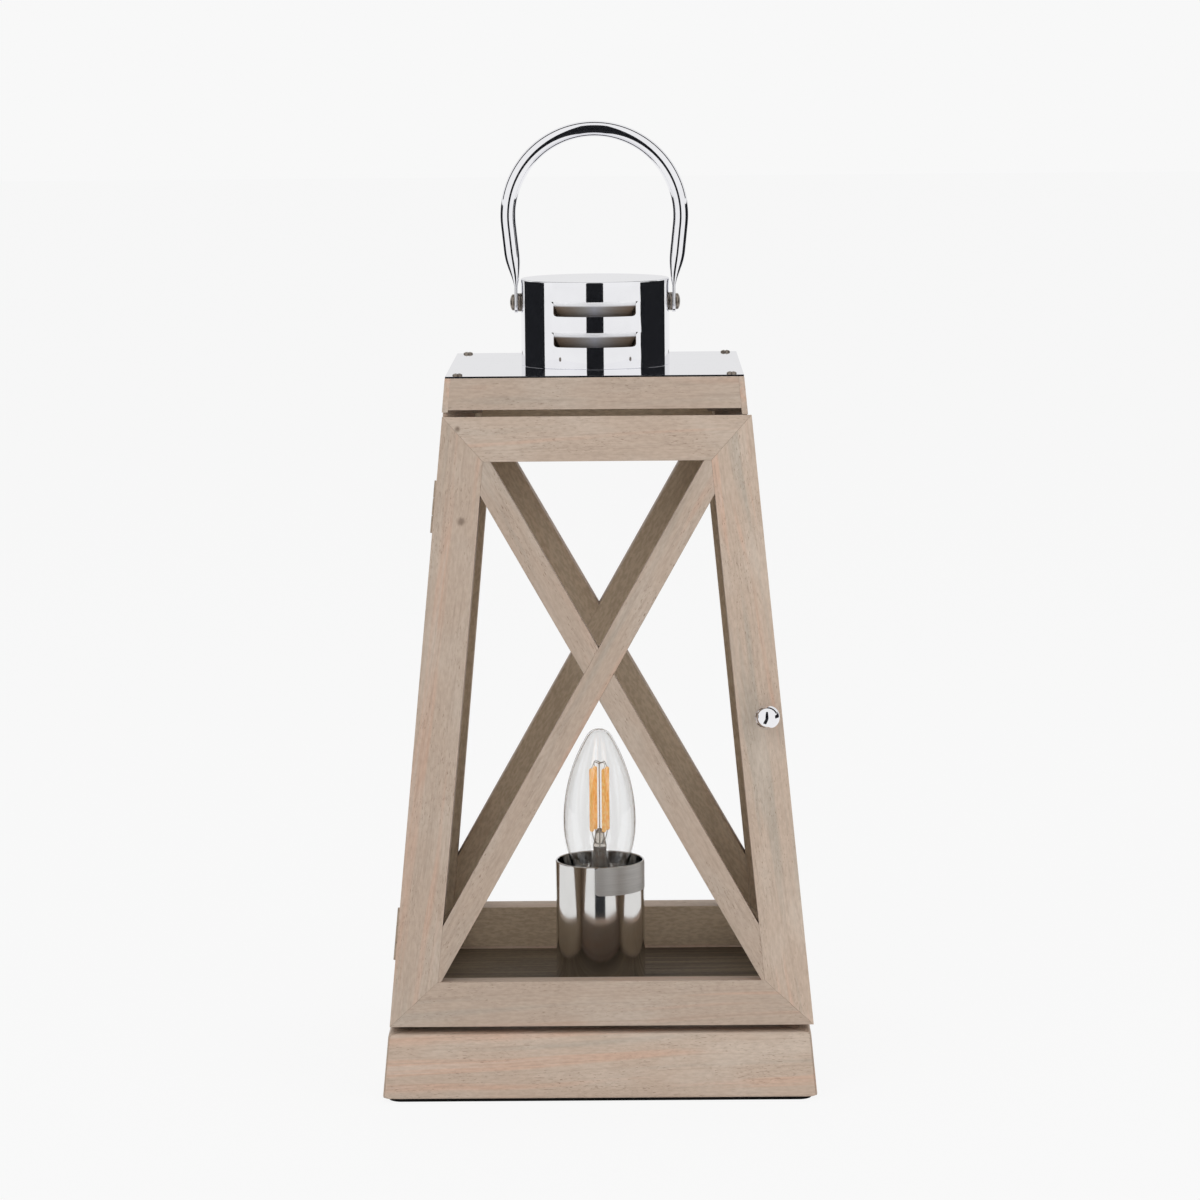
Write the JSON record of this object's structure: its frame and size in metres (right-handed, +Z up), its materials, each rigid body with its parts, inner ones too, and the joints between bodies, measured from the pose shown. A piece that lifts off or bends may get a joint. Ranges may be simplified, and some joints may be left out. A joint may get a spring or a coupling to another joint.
{
  "type": "lantern table lamp",
  "caption": "Tapered wooden lantern lamp with crossed frames, a hinged front door, a metal plate and chimney cap, a folding bail and a candle bulb in a metal cup.",
  "frame": {"origin": "middle of the felt's underside, on the table", "axes": "+Z up, -Y towards the side with the door, +X towards the door's free edge"},
  "size_m": [0.2, 0.2, 0.446],
  "materials": {
    "washed_wood": "grey washed oak, matt",
    "inner_wood": "dark stained board, matt",
    "felt": "black felt",
    "bright_metal": "polished nickel",
    "cup_metal": "polished sleeve",
    "fastener_steel": "zinc plated",
    "brass": "satin",
    "bulb_cap": "bright",
    "clear_glass": "clear",
    "filament": "amber coated",
    "black_plastic": "matt",
    "magnet": "plated"
  },
  "bodies": {
    "root": {"back_bottom_rail": "washed_wood", "back_falling_brace": "washed_wood", "back_left_stile": "washed_wood", "back_right_stile": "washed_wood", "back_rising_brace": "washed_wood", "back_top_rail": "washed_wood", "bail_nuts": "fastener_steel", "bail_pivot_screws": "fastener_steel", "base_back_board": "washed_wood", "base_front_board": "washed_wood", "base_left_board": "washed_wood", "base_right_board": "washed_wood", "bottom_panel": "inner_wood", "cable_gland": "black_plastic", "cap_back_board": "washed_wood", "cap_front_board": "washed_wood", "cap_left_board": "washed_wood", "cap_right_board": "washed_wood", "catch_magnet": "magnet", "chimney_cap": "bright_metal", "chimney_screws": "fastener_steel", "felt_pad": "felt", "floor_panel": "inner_wood", "hinge_frame_leaves": "brass", "hinge_pins": "brass", "holder_contact": "brass", "lamp_cup": "cup_metal", "lampholder": "black_plastic", "left_back_stile": "washed_wood", "left_bottom_rail": "washed_wood", "left_falling_brace": "washed_wood", "left_front_stile": "washed_wood", "left_rising_brace": "washed_wood", "left_top_rail": "washed_wood", "nipple": "fastener_steel", "nipple_nuts": "fastener_steel", "plate_screws": "fastener_steel", "right_back_stile": "washed_wood", "right_bottom_rail": "washed_wood", "right_falling_brace": "washed_wood", "right_front_stile": "washed_wood", "right_rising_brace": "washed_wood", "right_top_rail": "washed_wood", "top_panel": "inner_wood", "top_plate": "bright_metal"},
    "door": {"door_bottom_rail": "washed_wood", "door_falling_brace": "washed_wood", "door_hinge_stile": "washed_wood", "door_knob": "bright_metal", "door_knob_stile": "washed_wood", "door_rising_brace": "washed_wood", "door_top_rail": "washed_wood", "knob_screw": "fastener_steel", "strike_plate": "fastener_steel", "hinge_door_leaves": "brass"},
    "bail": {"bail_handle": "bright_metal"},
    "bulb": {"bulb_cap": "bulb_cap", "bulb_envelope": "clear_glass", "bulb_filaments": "filament", "bulb_stem": "clear_glass"}
  },
  "joints": [
    {"name": "door_hinge", "type": "hinge", "parent": "root", "child": "door", "pos_m": [-0.1, -0.08478, 0.0017], "axis": [-0.0952, -0.0952, -0.9909], "range_deg": [0, 170]},
    {"name": "bail_pivot", "type": "hinge", "parent": "root", "child": "bail", "pos_m": [0, 0, 0.3612], "axis": [1, 0, 0], "range_deg": [-108, 108]},
    {"name": "bulb_unscrew", "type": "slide", "parent": "root", "child": "bulb", "axis": [0, 0, 1], "range_m": [0, 0.04]}
  ]
}
